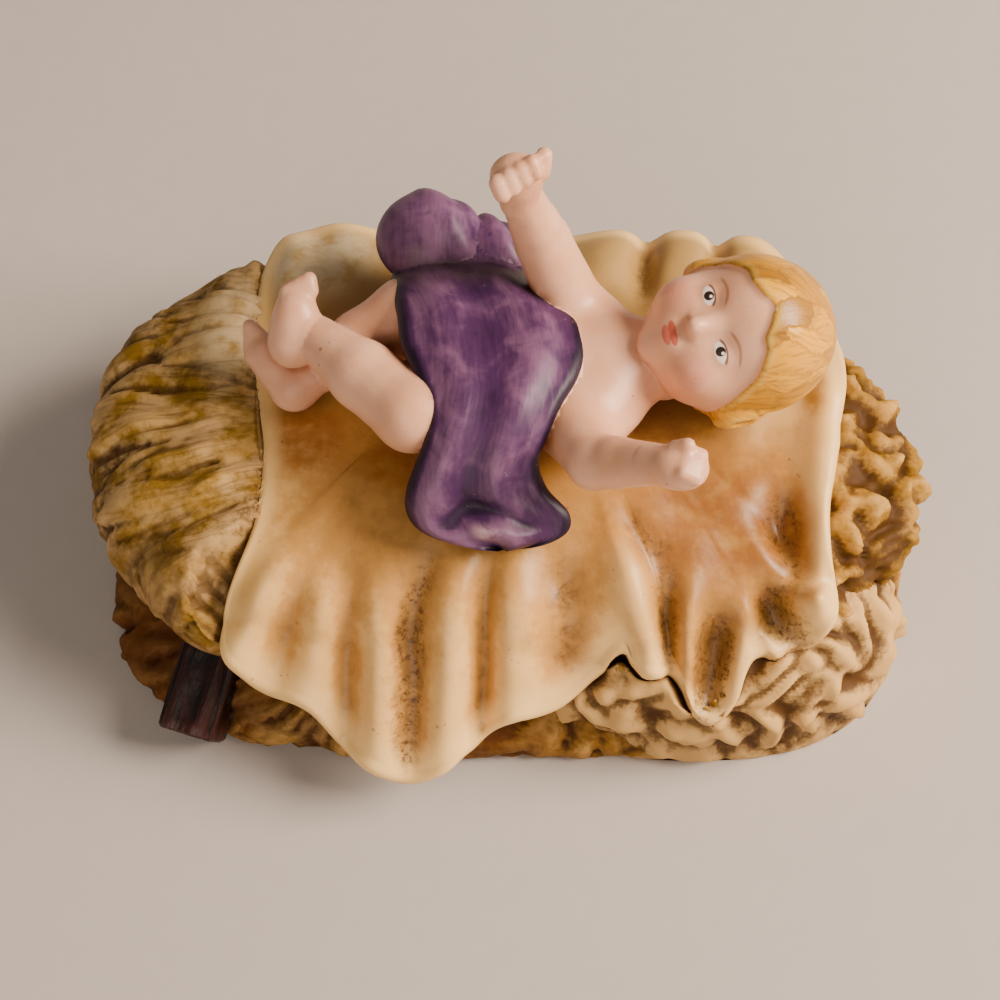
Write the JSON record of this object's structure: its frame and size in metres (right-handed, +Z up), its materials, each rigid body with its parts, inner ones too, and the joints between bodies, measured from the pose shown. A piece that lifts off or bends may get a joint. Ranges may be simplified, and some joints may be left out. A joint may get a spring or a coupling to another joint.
{
  "type": "porcelain baby figurine on a straw bed",
  "caption": "Small painted bisque porcelain figurine: a baby lying on a draped sheet over an oval bed of straw, on a low straw base with squared log legs.",
  "frame": {"origin": "on the plane it stands on, under the middle of its outline", "axes": "+X from the baby's feet to its head, -Y to the side where the sheet hangs down, +Z up"},
  "size_m": [0.0856, 0.0554, 0.0531],
  "materials": {
    "painted_bisque": "unglazed bisque porcelain, hand painted: pale pink skin, yellow hair, violet cloth, cream sheet with orange-brown washes, ochre straw and dark brown logs, with a soft sheen and grey dust in the hollows"
  },
  "bodies": {
    "root": {"bisque_figurine": "painted_bisque"}
  },
  "joints": []
}
